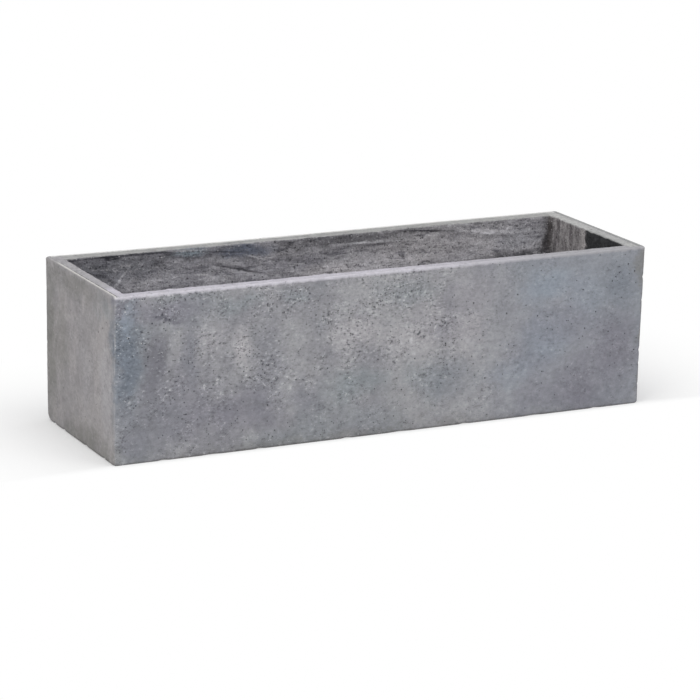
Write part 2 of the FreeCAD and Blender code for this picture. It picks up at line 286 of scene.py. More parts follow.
def raise_relief(piece, group, kind, size, strength, level=0.5, depth=2, stretch=None, turn=(0, 0, 0)):
    """Moves a piece's points along their normals by a procedural pattern of a real size.

    stretch and turn lay the pattern out along the trough through a helper that is then removed.
    """
    pattern = bpy.data.textures.new(f"{piece.name}_{kind.lower()}", type=kind)
    pattern.noise_scale = size
    if kind == "CLOUDS":
        pattern.noise_depth = depth
    else:
        pattern.musgrave_type = "RIDGED_MULTIFRACTAL"
        pattern.noise_intensity = 0.5
        pattern.octaves = depth
    push = piece.modifiers.new("relief", "DISPLACE")
    push.texture = pattern
    push.vertex_group = group
    push.strength = strength
    push.mid_level = level
    helper = None
    if stretch:
        bpy.ops.object.empty_add(rotation=turn)
        helper = bpy.context.object
        helper.scale = stretch
        push.texture_coords = "OBJECT"
        push.texture_coords_object = helper
    else:
        push.texture_coords = "LOCAL"
    apply(piece, push)
    if helper:
        bpy.data.objects.remove(helper)


def apply(piece, modifier):
    """Applies one modifier of a piece."""
    bpy.ops.object.select_all(action="DESELECT")
    bpy.context.view_layer.objects.active = piece
    piece.select_set(True)
    bpy.ops.object.modifier_apply(modifier=modifier.name)


def cut_drains(pieces):
    """Cuts the three drain holes, flared at the underside, through the floors of both coats."""
    bpy.ops.object.select_all(action="DESELECT")
    depth = 2 * FLOOR - DRAIN_CHAMFER
    for number in (-1, 0, 1):
        place = (number * DRAIN_PITCH, 0, DRAIN_CHAMFER + depth / 2)
        bpy.ops.mesh.primitive_cylinder_add(vertices=48, radius=DRAIN_RADIUS, depth=depth, location=place)
        drill = bpy.context.object
        bpy.ops.object.transform_apply(location=True, rotation=True, scale=True)
        bpy.ops.object.mode_set(mode="EDIT")
        pick(drill, "FACE", lambda face: face.normal.z < -0.9)
        fall = (0, 0, -2 * DRAIN_CHAMFER)
        bpy.ops.mesh.extrude_region_move(TRANSFORM_OT_translate={"value": fall})
        flare = (DRAIN_RADIUS + 2 * DRAIN_CHAMFER) / DRAIN_RADIUS
        bpy.ops.transform.resize(value=(flare, flare, 1), center_override=(place[0], 0, 0))
        bpy.ops.object.mode_set(mode="OBJECT")
        for piece in pieces:
            cut = piece.modifiers.new("drain", "BOOLEAN")
            cut.operation = "DIFFERENCE"
            cut.solver = "MANIFOLD"
            cut.object = drill
            apply(piece, cut)
        bpy.data.objects.remove(drill)


def edit(piece):
    """Opens one piece in edit mode."""
    bpy.ops.object.select_all(action="DESELECT")
    bpy.context.view_layer.objects.active = piece
    piece.select_set(True)
    bpy.ops.object.mode_set(mode="EDIT")


def near_points(piece, places, reach=8 * MM):
    """The indices of the points nearest to the places, in edit mode, leaving out those too far off."""
    mesh = bmesh.from_edit_mesh(piece.data)
    mesh.verts.index_update()
    tree = kdtree.KDTree(len(mesh.verts))
    for point in mesh.verts:
        tree.insert(point.co, point.index)
    tree.balance()
    found = (tree.find(place) for place in places)
    return {index for _, index, distance in found if distance < reach}


def press(piece, places, push, radius, falloff="SMOOTH"):
    """Pushes the surface at the places, and less and less around them, as with a thumb or a tool."""
    chosen = near_points(piece, places)
    pick(piece, "VERT", lambda point: point.index in chosen)
    bpy.ops.transform.translate(
        value=at(*push),
        use_proportional_edit=True,
        proportional_edit_falloff=falloff,
        proportional_size=radius * MM,
    )


def along(path, step=2.5 * MM):
    """Places a small step apart along a path of points."""
    places = []
    for begin, finish in zip(path, path[1:]):
        count = max(int((finish - begin).length / step), 1)
        places += [begin.lerp(finish, number / count) for number in range(count)]
    return places


def spot_of(face):
    """The middle of a face, rounded so that it can be found again."""
    return tuple(round(value / (0.05 * MM)) for value in face.calc_center_median())


def sink_pits(piece, spots, rim, slope, depth, seed):
    """Sinks an air pit into each of the faces at the spots, and marks its bottom for the finish."""
    pick(piece, "FACE", lambda face: spot_of(face) in spots)
    bpy.ops.mesh.inset(thickness=rim * MM, depth=0, use_individual=True)
    bpy.ops.transform.vertex_random(offset=rim * 0.35 * MM, seed=seed)
    bpy.ops.mesh.inset(thickness=slope * MM, depth=-depth * MM, use_individual=True)
    mesh = bmesh.from_edit_mesh(piece.data)
    pit = mesh.verts.layers.float["pit"]
    for face in mesh.faces:
        if face.select:
            for point in face.verts:
                point[pit] = 1.0
    bmesh.update_edit_mesh(piece.data)


def choose_pits(piece, chance_at, draw):
    """The spots of the faces that get a pit, each with the chance that its place gives it."""
    mesh = bmesh.from_edit_mesh(piece.data)
    mesh.faces.ensure_lookup_table()
    chosen = []
    for face in mesh.faces:
        if len(face.verts) == 4 and face.calc_area() > (2 * MM) ** 2:
            if draw.random() < chance_at(face.calc_center_median()):
                chosen.append(spot_of(face))
    draw.shuffle(chosen)
    return chosen


def coat_pit_chance(place):
    """Pits crowd together in loose drifts on the long faces, most of all at the upper left, and are few on the ends."""
    if outside_share(place) < 1 or place.z < 6 * MM:
        return 0.0
    drift = noise.noise(place * (1 / 0.045)) + 0.6 * noise.noise(place * (1 / 0.016))
    crowd = ramp(drift, -0.1, 0.55)
    if abs(place.x) > LENGTH / 2 - 2 * MM:
        return 0.004 + 0.010 * crowd
    calm = max(0.75 * ramp(place.x, 0.06, 0.2), 0.5 * ramp(place.z, 0.11, 0.06))
    return 0.012 + 0.17 * crowd * (1 - calm)


def backing_pit_chance(place):
    """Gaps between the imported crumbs, on the walls of the planting space and its floor."""
    if inside_share(place) < 1 or drain_share(place) < 1:
        return 0.0
    drift = noise.noise(place * (1 / 0.03))
    return 0.010 + 0.045 * ramp(drift, -0.1, 0.4)


def wear_corner(piece, corner, along_axis, radius, fade):
    """Rounds off an outside corner in the plane across one axis, less and less further along it."""
    corner, radius, fade = at(*corner), radius * MM, fade * MM
    across = [axis for axis in range(3) if axis != along_axis]
    for point in piece.data.vertices:
        place = point.co
        here = radius * (1 - ramp(abs(place[along_axis] - corner[along_axis]), 0, fade) ** 2)
        out = [1 if corner[axis] > 0 else -1 for axis in across]
        reach = [out[n] * (place[axis] - corner[axis]) + here for n, axis in enumerate(across)]
        length = math.hypot(*reach)
        if min(reach) > 0 and here < length < 1.5 * here:
            for n, axis in enumerate(across):
                place[axis] = corner[axis] + out[n] * (reach[n] * here / length - here)


def settle_rim(piece, dip):
    """Lets the back rim dip a little along its left half, as the casting's does."""
    for point in piece.data.vertices:
        bell = max(0, 1 - ((point.co.x + 0.12) / 0.27) ** 2)
        point.co.z -= dip * bell * ramp(point.co.z, 0.15, HEIGHT) * ramp(point.co.y, 0.05, 0.11)


def hold_in_box(piece):
    """Rubs down whatever the relief has raised over the casting's own outside."""
    for point in piece.data.vertices:
        point.co.x = max(min(point.co.x, LENGTH / 2), -LENGTH / 2)
        point.co.y = max(min(point.co.y, CAD_BOX[1][1]), CAD_BOX[0][1])
        point.co.z = max(min(point.co.z, HEIGHT), 0)


coat = draw_face_coat()
backing = draw_fibre_backing()
cut_drains((coat, backing))

skin = mask(coat, "skin", lambda place: outside_share(place) * ramp(place.z, 1 * MM, 14 * MM))
raise_relief(coat, skin, "CLOUDS", 0.16, -0.8 * MM, level=0.35, depth=1)
raise_relief(coat, skin, "CLOUDS", 0.03, -0.45 * MM, level=0.35)
raise_relief(coat, skin, "CLOUDS", 0.008, -0.4 * MM, level=0.35)

packed = mask(backing, "packed", lambda place: inside_share(place) * drain_share(place))
raise_relief(backing, packed, "CLOUDS", 0.05, 2.2 * MM, depth=2)
raise_relief(
    backing, packed, "MUSGRAVE", 0.02, 1.5 * MM, level=0.7, depth=3, stretch=(3, 1, 0.5), turn=(0, 0.35, 0)
)
raise_relief(backing, packed, "CLOUDS", 0.007, 1.8 * MM, depth=2)

# Worn corners, chips and scratches of the face coat, in millimetres: places, push, reach.
COAT_WEAR = (
    (((-400, -127, 229),), (1.6, 1.2, -2.2), 8),
    (((-400, 127, 229), (400, -127, 229)), (0, 0, -0.8), 6),
    (((400, -125, 79), (400, -125, 185)), (-1.2, 0.8, 0), 4.5),
    (((400, -124, 60), (400, -126, 150), (400, -124, 28)), (-0.7, 0.6, 0), 4),
    (((-398, -126, 203), (-397, -126, 196), (-399, -124, 120)), (1.4, 0.8, 0), 4),
    (((-352, -127, 229), (-205, -127, 229), (155, -127, 229)), (0, 0.4, -0.6), 9),
    (((-96, -127, 229), (44, -127, 229), (310, -127, 229)), (0, 0.3, -0.4), 12),
    (((-330, -123, 0), (-190, -123, 0), (-60, -123, 0), (120, -123, 0), (330, -123, 0)), (0, 0.8, 1.1), 9),
    (((-260, -123, 0), (20, -123, 0), (230, -123, 0)), (0, 0.5, 0.6), 18),
    (((-400, 60, 0), (-400, -20, 0), (-400, 95, 0), (-400, -85, 0)), (1.4, 0, 1.2), 7),
    (((-280, 123, 0), (-40, 123, 0), (210, 123, 0), (350, 123, 0)), (0, -0.8, 1.2), 9),
    (((400, 50, 0), (400, -60, 0), (400, 100, 0)), (-1.2, 0, 1.0), 8),
    (((400, 124, 60), (400, 126, 170), (-400, 125, 110)), (0, -1.4, 0), 4.5),
    (((84, -125, 120), (85, -125, 115)), (0, 1.4, 0), 3.5),
    (((-59, -126, 174), (-23, -126, 181), (-323, -126, 192), (-328, -126, 190)), (0, 1.2, 0), 3.5),
)
# Corners worn round: the corner, the axis that the wear runs along, its radius and its reach.
WORN_CORNERS = (
    ((-400, 123, 0), 0, 22, 80),
    ((400, -123, 0), 1, 6, 30),
    ((400, 123, 0), 0, 8, 40),
    ((-400, -123, 0), 1, 4, 16),
)
# The larger pits that the face coat shows, X and Z on the front.
LARGE_PITS = (
    (-59, 174), (-61, 171), (-23, 181), (-20, 186), (84, 117), (85, 120), (-323, 192), (-330, 190),
    (-352, 144), (-356, 133), (-349, 190), (-382, 172), (-303, 158), (-322, 121), (-371, 80), (-140, 90),
    (-180, 60), (-216, 110), (-60, 147), (-92, 102), (40, 101), (62, 148), (127, 171), (179, 153),
    (196, 177), (300, 176), (347, 184), (352, 190), (372, 205), (384, 196), (306, 120), (240, 64),
    (345, 110), (322, 143), (390, 79), (22, 60), (-300, 60), (150, 64), (230, 143), (-110, 178),
)
END_PITS = ((-70, 170), (-20, 40), (-36, 123), (30, 175), (-95, 190), (-110, 150), (60, 60), (-60, 70), (90, 30))

edit(coat)
for places, push, radius in COAT_WEAR:
    press(coat, [at(*place) for place in places], push, radius)
bpy.ops.object.mode_set(mode="OBJECT")
for worn in WORN_CORNERS:
    wear_corner(coat, *worn)
coat.data.attributes.new("pit", "FLOAT", "POINT")
edit(coat)
draw = random.Random(41)
pits = choose_pits(coat, coat_pit_chance, draw)
third = len(pits) // 3
sink_pits(coat, set(pits[:third]), 0.85, 0.25, 0.7, 1)
sink_pits(coat, set(pits[third:2 * third]), 0.6, 0.3, 0.9, 2)
sink_pits(coat, set(pits[2 * third:]), 1.0, 0.2, 0.5, 3)
marked = [at(x, -127 + 4 * (1 - z / 229), z) for x, z in LARGE_PITS] + [at(-400, y, z) for y, z in END_PITS]
mesh = bmesh.from_edit_mesh(coat.data)
tree = kdtree.KDTree(len(mesh.faces))
big = [face for face in mesh.faces if len(face.verts) == 4 and face.calc_area() > (2.2 * MM) ** 2]
for number, face in enumerate(big):
    tree.insert(face.calc_center_median(), number)
tree.balance()
sink_pits(coat, {spot_of(big[tree.find(place)[1]]) for place in marked}, 0.35, 0.35, 1.5, 4)
bpy.ops.object.mode_set(mode="OBJECT")

# Crevices, ledges and trowel lines in the backing, and the sunk seam in the left rim.
BACK_WALL = 105.5
BACKING_WEAR = (
    (((-324, BACK_WALL, 224), (-316, BACK_WALL, 220), (-308, BACK_WALL, 219), (-298, BACK_WALL, 222)), (0, 2.6, -1), 4),
    (((132, BACK_WALL, 222), (170, BACK_WALL, 219), (214, BACK_WALL, 215)), (0, 1.6, 0), 3.5),
    (((21, BACK_WALL, 209), (80, BACK_WALL, 212), (133, BACK_WALL, 211)), (0, -1.3, 0), 4),
    (((-230, BACK_WALL, 218), (-190, BACK_WALL, 211), (-150, BACK_WALL, 214), (-110, BACK_WALL, 206)), (0, 1.5, 0), 4),
    (((-160, BACK_WALL, 200), (-100, BACK_WALL, 186), (-60, BACK_WALL, 176)), (0, 1.3, 0), 4),
    (((-330, BACK_WALL, 205), (-290, BACK_WALL, 180), (-280, BACK_WALL, 165)), (0, -1.4, 0), 5),
    (((230, BACK_WALL, 214), (300, BACK_WALL, 207), (350, BACK_WALL, 206)), (0, -1.2, 0), 6),
    (((377, 60, 214), (377, 40, 180), (377, 42, 120)), (1.2, 0, 0), 5),
    (((377, 84, 220), (377, 78, 170), (377, 80, 90)), (1.4, 0, 0), 4),
)
edit(backing)
for path, push, radius in BACKING_WEAR:
    press(backing, along([at(*place) for place in path]), push, radius)
press(backing, along((at(-393.5, -112, 228), at(-393.5, 116, 228))), (0, 0, -0.9), 5)
bpy.ops.object.mode_set(mode="OBJECT")
backing.data.attributes.new("pit", "FLOAT", "POINT")
edit(backing)
gaps = choose_pits(backing, backing_pit_chance, draw)
half = len(gaps) // 2
sink_pits(backing, set(gaps[:half]), 0.6, 0.35, 1.3, 5)
sink_pits(backing, set(gaps[half:]), 0.8, 0.3, 0.8, 6)
bpy.ops.object.mode_set(mode="OBJECT")
for piece in (coat, backing):
    settle_rim(piece, 1.1 * MM)
    hold_in_box(piece)

# ---------------------------------------------------------------- finishes


def tone(red, green, blue):
    """A colour as the eye reads it, from 0 to 255, made linear."""
    return tuple(
        (part / 255 / 12.92) if part < 10 else ((part / 255 + 0.055) / 1.055) ** 2.4
        for part in (red, green, blue)
    ) + (1.0,)


class Wire:
    """A shader value that arithmetic works on: every operation adds its Math node."""

    def __init__(self, paint, socket):
        self.paint, self.socket = paint, socket

    def maths(self, operation, *values):
        return self.paint.node("ShaderNodeMath", {"operation": operation}, dict(enumerate(values)))

    def __add__(self, other):
        return self.maths("ADD", self, other)

    def __sub__(self, other):
        return self.maths("SUBTRACT", self, other)

    def __rsub__(self, other):
        return self.maths("SUBTRACT", other, self)

    def __mul__(self, other):
        return self.maths("MULTIPLY", self, other)

    __radd__ = __add__
    __rmul__ = __mul__

    def other(self, output):
        """Another output of the same node."""
        return Wire(self.paint, self.socket.node.outputs[output])

    def rise(self, low, high):
        """0 where the value is at low, 1 where it is at high, and smooth between them."""
        settings = {"interpolation_type": "SMOOTHSTEP"}
        return self.paint.node("ShaderNodeMapRange", settings, {0: self, 1: low, 2: high})


class Paint:
    """A material being made. Every node but the arithmetic comes straight from node()."""

    def __init__(self, name):
        self.material = bpy.data.materials.new(name)
        self.material.use_nodes = True
        self.tree = self.material.node_tree
        self.tree.nodes.clear()
        self.where = self.node("ShaderNodeTexCoord", output="Object")
        self.x = self.node("ShaderNodeSeparateXYZ", None, {0: self.where})
        self.y, self.z = self.x.other(1), self.x.other(2)

    def node(self, kind, settings=None, sockets=None, output=0):
        """Adds a node, its settings first, and returns one of its outputs as a Wire."""
        made = self.tree.nodes.new(kind)
        for name, value in (settings or {}).items():
            setattr(made, name, value)
        for name, value in (sockets or {}).items():
            if isinstance(value, Wire):
                self.tree.links.new(value.socket, made.inputs[name])
            else:
                made.inputs[name].default_value = value
        return Wire(self, made.outputs[output]) if made.outputs else None

    def vector(self, operation, first, second, output="Vector"):
        return self.node("ShaderNodeVectorMath", {"operation": operation}, {0: first, 1: second}, output)

    def laid(self, scale=(1, 1, 1), turn=(0, 0, 0), move=(0, 0, 0), where=None):
        """The piece's own coordinates, scaled, turned and moved."""
        sockets = {"Vector": where or self.where, "Location": move, "Rotation": turn, "Scale": scale}
        return self.node("ShaderNodeMapping", None, sockets)

    def loosened(self, size, reach, detail=3, roughness=0.6):
        """The piece's own coordinates, made to wander by up to about reach, in waves of that size."""
        waves = self.cloud(size, detail, roughness, output="Color")
        sway = self.vector("SUBTRACT", waves, (0.5, 0.5, 0.5))
        return self.vector("ADD", self.where, self.vector("MULTIPLY", sway, (2 * reach,) * 3))

    def cloud(self, size, detail=2.0, roughness=0.5, where=None, output="Fac"):
        """Soft noise whose blotches are about size across."""
        sockets = {"Vector": where or self.where, "Scale": 1 / size, "Detail": detail, "Roughness": roughness}
        return self.node("ShaderNodeTexNoise", None, sockets, output)

    def spots(self, size, low, high, share, where=None):
        """Spots, one to a cell of that size at most, with radii from low to high, in cells.
        share is how many of the cells hold one."""
        sockets = {"Vector": where or self.where, "Scale": 1 / size}
        distance = self.node("ShaderNodeTexVoronoi", {"feature": "F1"}, sockets)
        chance = self.node("ShaderNodeSeparateColor", None, {0: distance.other("Color")})
        radius = chance.other(1) * (high - low) + low
        there = chance.maths("LESS_THAN", chance, share)
        return distance.maths("DIVIDE", distance, radius).rise(1.0, 0.5) * there

    def blend(self, share, first, second):
        """The first colour, turned into the second where share is 1."""
        return self.node("ShaderNodeMix", {"data_type": "RGBA"}, {0: share, 6: first, 7: second}, 2)

    def shade(self, color, factor):
        """A colour made lighter or darker by a factor."""
        return self.node("ShaderNodeVectorMath", {"operation": "SCALE"}, {0: color, "Scale": factor})

    def patch(self, where, centre, radii, slope=0):
        """A soft spot of the given place and half sizes, in millimetres. slope is its fall to the right in degrees."""
        sockets = {"Vector": where, "Location": at(*centre), "Scale": at(*radii), "Rotation": (0, math.radians(slope), 0)}
        offset = self.node("ShaderNodeMapping", {"vector_type": "TEXTURE"}, sockets)
        length = self.node("ShaderNodeVectorMath", {"operation": "LENGTH"}, {0: offset}, "Value")
        return length.rise(1.25, 0.25)

    def beyond(self, half_length, half_width):
        """How far a place lies outside an upright box, seen from above, and below 0 inside it."""
        over_x = self.x.maths("ABSOLUTE", self.x) - half_length
        over_y = self.y.maths("ABSOLUTE", self.y) - half_width
        return over_x.maths("MAXIMUM", over_x, over_y)

    def seam(self):
        """Painted shade of the sunk groove at the seam between the two coats in the rim, deepest along the left end."""
        off = self.beyond(0.3954, 0.1215)
        line = off.maths("ABSOLUTE", off).rise(1.3 * MM, 0.3 * MM) * self.z.rise(0.226, 0.2275)
        deep = self.x.rise(-0.385, -0.393) * self.y.rise(-0.124, -0.112) * self.y.rise(0.08, -0.01)
        gaps = self.cloud(0.012).rise(0.36, 0.5)
        return line * (deep * 0.7 * gaps + 0.3)

    def finish(self, color, roughness, height, depth, **constants):
        """Ends in a Principled shader. height is in units of depth, a real size."""
        normal = self.node("ShaderNodeBump", None, {"Height": height, "Distance": depth, "Strength": 1.0})
        sockets = {"Base Color": color, "Roughness": roughness, "Normal": normal}
        sockets.update(constants)
        shader = self.node("ShaderNodeBsdfPrincipled", None, sockets)
        self.node("ShaderNodeOutputMaterial", None, {"Surface": shader})
        return self.material


CONCRETE = tone(146, 146, 151)
DARK_CONCRETE = tone(126, 127, 134)
LIGHT_CONCRETE = tone(164, 163, 167)
# The painted shade inside air pits.
PIT_SHADE = tone(48, 49, 54)
SPECK = tone(196, 196, 198)
BLUE_GREY = tone(112, 119, 129)
PALE_BLUE = tone(144, 153, 164)
LILAC_GREY = tone(125, 124, 133)
PALE_LILAC = tone(169, 167, 170)
GREEN_GREY = tone(134, 140, 144)
SMUDGE = tone(98, 98, 107)
BROWN_GREY = tone(122, 121, 118)
WARM_GREY = tone(160, 156, 156)

FRONT = -125
# Patches of the face coat in millimetres: colour, share, middle, half sizes.
COAT_PATCHES = (
    (BLUE_GREY, 0.95, (-386, FRONT, 140), (30, 20, 105)),
    (PALE_BLUE, 0.55, (-382, FRONT, 195), (14, 20, 28)),
    (LILAC_GREY, 0.8, (-394, FRONT, 214), (9, 20, 16)),
    (LILAC_GREY, 0.8, (-325, FRONT, 202), (66, 20, 24)),
    (SMUDGE, 0.75, (-325, FRONT, 192), (20, 20, 7)),
    (DARK_CONCRETE, 0.85, (-293, FRONT, 140), (18, 20, 54)),
    (SMUDGE, 0.6, (-345, FRONT, 125), (18, 20, 60)),
    (DARK_CONCRETE, 0.7, (-350, FRONT, 55), (60, 20, 56)),
    (DARK_CONCRETE, 0.85, (-376, FRONT, 28), (36, 20, 30)),
    (PALE_LILAC, 0.45, (-263, FRONT, 172), (26, 20, 32)),
    (PALE_LILAC, 0.85, (-222, FRONT, 146), (15, 20, 34)),
    (DARK_CONCRETE, 0.6, (-182, FRONT, 110), (32, 20, 95)),
    (LILAC_GREY, 0.6, (-225, FRONT, 56), (85, 20, 34)),
    (DARK_CONCRETE, 0.7, (-122, FRONT, 66), (32, 20, 30)),
    (GREEN_GREY, 0.6, (-216, FRONT, 204), (32, 20, 14)),
    (GREEN_GREY, 0.6, (-139, FRONT, 209), (26, 20, 14)),
    (GREEN_GREY, 0.5, (27, FRONT, 199), (45, 20, 20)),
    (PALE_LILAC, 0.75, (-50, FRONT, 148), (48, 20, 28)),
    (PALE_LILAC, 0.6, (29, FRONT, 128), (58, 20, 30)),
    (PALE_LILAC, 0.55, (62, FRONT, 166), (36, 20, 22)),
    (PALE_LILAC, 0.65, (122, FRONT, 138), (36, 20, 42)),
    (GREEN_GREY, 0.75, (-45, FRONT, 78), (60, 20, 24)),
    (BLUE_GREY, 0.4, (88, FRONT, 66), (50, 20, 40)),
    (PALE_LILAC, 0.4, (126, FRONT, 190), (40, 20, 24)),
    (DARK_CONCRETE, 0.4, (178, FRONT, 158), (26, 20, 30)),
    (PALE_BLUE, 0.65, (243, FRONT, 188), (50, 20, 28)),
    (PALE_BLUE, 0.5, (244, FRONT, 112), (42, 20, 42)),
    (PALE_BLUE, 0.35, (302, FRONT, 165), (36, 20, 50)),
    (LILAC_GREY, 0.35, (262, FRONT, 126), (60, 20, 30)),
    (LILAC_GREY, 0.8, (356, FRONT, 84), (50, 20, 66)),
    (BLUE_GREY, 0.5, (362, FRONT, 180), (40, 20, 40)),
    (PALE_BLUE, 0.35, (190, FRONT, 66), (50, 20, 26)),
    (LILAC_GREY, 0.85, (300, FRONT, 38), (48, 20, 48)),
    (LILAC_GREY, 0.5, (236, FRONT, 28), (42, 20, 22)),
    (BROWN_GREY, 0.75, (402, FRONT, 115), (10, 14, 130)),
    (BROWN_GREY, 0.6, (396, FRONT, 212), (16, 20, 20)),
    (BROWN_GREY, 0.4, (0, FRONT, -2), (430, 20, 16)),
    (GREEN_GREY, 0.4, (-400, -88, 205), (12, 34, 22)),
    (BROWN_GREY, 0.7, (-400, -30, 8), (12, 120, 32)),
    (BROWN_GREY, 0.8, (-400, 108, 115), (12, 32, 125)),
    (BROWN_GREY, 0.55, (-400, 62, 125), (12, 28, 66)),
    (BROWN_GREY, 0.55, (-400, 20, 215), (12, 110, 22)),
    (PALE_LILAC, 0.55, (-400, -96, 105), (12, 28, 72)),
    (PALE_LILAC, 0.3, (-400, -20, 100), (12, 24, 60)),
)


def face_concrete():
    """Cast grey concrete: soft colour patches, air pits painted dark as shade, pale specks, a paler rim that is partly
    painted light, and painted shade at the seam and along the foot.
    """
    paint = Paint("face_concrete")
    loose = paint.loosened(0.045, 30 * MM, 5, 0.68)
    ragged = paint.loosened(0.003, 1.4 * MM)
    broad = paint.cloud(0.1, 4, 0.6)
    middling = paint.cloud(0.014, 4, 0.65)
    grain = paint.cloud(0.0042, 3, 0.75, paint.laid(scale=(0.7, 0.7, 1)))
    color = paint.blend(broad.rise(0.38, 0.62), tone(137, 137, 142), tone(155, 155, 158))
    tint = paint.cloud(0.13, 2, 0.5, paint.laid(move=(3, 5, 1)))
    color = paint.blend(tint.rise(0.52, 0.66) * 0.45, color, GREEN_GREY)
    color = paint.blend(tint.rise(0.46, 0.34) * 0.45, color, LILAC_GREY)
    right_side = paint.x.rise(0.08, 0.26)
    color = paint.blend(right_side * 0.5, color, tone(139, 143, 153))
    left = paint.x.rise(-0.3975, -0.3995)
    streak = paint.cloud(0.03, 4, 0.6, paint.laid(scale=(1, 1, 0.5)))
    warm = paint.blend(streak.rise(0.4, 0.62), tone(144, 141, 142), tone(157, 153, 153))
    color = paint.blend(left * 0.85, color, warm)
    for patch, share, centre, radii in COAT_PATCHES:
        color = paint.blend(paint.patch(loose, centre, radii) * share, color, patch)
    wobble = (middling - 0.5) * 4 * MM
    worn = (paint.y + paint.z * 0.0175 + wobble).rise(-0.1195, -0.122) * (paint.x + wobble).rise(-0.3985, -0.3995)
    color = paint.blend(worn * paint.z.rise(0.03, 0.06) * 0.55, color, tone(184, 183, 184))
    # Painted shade: a dark band along the foot, where the base turns under.
    foot_shade = (paint.z + wobble).rise(0.005, 0.0)
    color = paint.blend(foot_shade * 0.6, color, tone(88, 86, 84))

    crowd = paint.cloud(0.035, 3, 0.55, paint.laid(move=(1, 7, 2))).rise(0.42, 0.6)
    lower = paint.z.rise(0.115, 0.06) * 0.5
    calm = lower.maths("MAXIMUM", lower, paint.x.rise(0.05, 0.2) * 0.75)
    busy = (crowd * 0.75 + 0.25) * (1 - calm) * (1 - left * 0.8)
    pits = paint.spots(0.0055, 0.08, 0.2, 0.5, ragged) * busy
    dashes = paint.laid(scale=(0.55, 0.55, 1), move=(0.5, 0.2, 0.1), where=ragged)
    pin_holes = paint.spots(0.0028, 0.14, 0.32, 0.6, dashes) * busy
    specks = paint.spots(0.0042, 0.1, 0.26, 0.45, paint.laid(move=(0.3, 0.6, 0.9), where=ragged)) * busy
    sunk = paint.node("ShaderNodeAttribute", {"attribute_name": "pit"}, None, "Fac")

    # The rim is painted paler than the faces, partly a paler worn top and partly painted light from above, greyer to
    # the right; the right rim's outer strip is painted shade.
    rim = (paint.z + (middling - 0.5) * 5 * MM).rise(0.2235, 0.2273) * (1 - left * 0.8)
    rim_color_and_light = paint.blend(paint.x.rise(0.0, 0.34), tone(195, 192, 200), tone(164, 163, 167))
    rim_color_and_light = paint.blend(paint.y.rise(-0.1, 0.115), rim_color_and_light, tone(226, 226, 224))
    # Painted highlight: a pale line along the rounded outer edge of the left rim.
    edge = paint.beyond(0.4, 0.127) + wobble * 0.3
    edge_highlight = edge.rise(-4.6 * MM, -3.4 * MM) * edge.rise(-0.2 * MM, -1.0 * MM) * paint.y.rise(0.1, 0.07)
    left_color = paint.blend(edge_highlight, tone(162, 160, 162), tone(204, 202, 199))
    rim_color_and_light = paint.blend(paint.x.rise(-0.392, -0.395) * paint.y.rise(-0.126, -0.118), rim_color_and_light, left_color)
    rim_color_and_light = paint.blend(paint.x.rise(0.392, 0.395) * paint.y.rise(-0.126, -0.118), rim_color_and_light, tone(156, 156, 156))
    color = paint.blend(rim * 0.9, color, rim_color_and_light)
    # Painted shade in the seam's groove.
    color = paint.blend(paint.seam() * 0.8, color, tone(62, 62, 64))
    flat = 1 - rim * 0.6
    factor = ((grain - 0.5) * (busy * 1.1 + 0.45) + (middling - 0.5) * (busy * 0.3 + 0.6)) * flat + 1
    color = paint.shade(color, factor)
    color = paint.blend(grain.rise(0.42, 0.34) * busy * flat * 0.9, color, tone(80, 80, 87))
    color = paint.blend(grain.rise(0.6, 0.68) * busy * flat * 0.85, color, tone(194, 194, 196))
    color = paint.blend(specks * flat * 0.9, color, SPECK)
    # Painted shade in the air pits: the painted pores and the sunk pit bottoms are coloured dark.
    holes = (1 - pits * 0.85) * (1 - pin_holes * 0.75)
    color = paint.blend((1 - holes) * flat, color, PIT_SHADE)
    color = paint.blend(sunk * 0.85, color, PIT_SHADE)
    height = broad * 0.25 + middling * 0.35 + grain * 0.2 + holes * 0.7 + specks * 0.15
    return paint.finish(color, middling * 0.12 + 0.82, height, 1.2 * MM, **{"Specular IOR Level": 0.25})


INNER_BACK = 104
# Patches of the fibre backing in millimetres: colour, share, middle, half sizes. The three darkest, in the back right
# corner, low on the back wall at the right and high on the left end wall, are painted shade.
BACKING_PATCHES = (
    (tone(122, 124, 130), 0.5, (-300, INNER_BACK, 208), (70, 25, 22)),
    (tone(176, 174, 178), 0.6, (-270, INNER_BACK, 180), (34, 25, 14)),
    (tone(166, 180, 190), 0.75, (-195, INNER_BACK, 221), (32, 25, 9)),
    (tone(116, 126, 146), 0.75, (-112, INNER_BACK, 216), (52, 25, 11)),
    (tone(124, 123, 130), 0.5, (-20, INNER_BACK, 192), (60, 25, 12)),
    (tone(190, 186, 188), 0.6, (20, INNER_BACK, 170), (55, 25, 18)),
    (tone(192, 190, 194), 0.5, (92, INNER_BACK, 180), (44, 25, 16)),
    (tone(118, 117, 121), 0.8, (62, INNER_BACK, 221), (110, 25, 9)),
    (tone(188, 184, 186), 0.4, (170, INNER_BACK, 198), (110, 25, 30)),
    (tone(176, 176, 182), 0.6, (332, INNER_BACK, 196), (46, 25, 18)),
    (tone(120, 119, 122), 0.5, (268, INNER_BACK, 221), (34, 25, 8)),
    (tone(62, 58, 58), 0.9, (374, 102, 195), (10, 9, 60)),
    (tone(60, 60, 64), 0.85, (332, INNER_BACK, 170), (80, 25, 12)),
    (tone(66, 66, 72), 0.6, (-378, 70, 215), (14, 60, 14)),
)
SHADE_LINE, PALE_LINE = tone(56, 56, 62), tone(204, 203, 208)
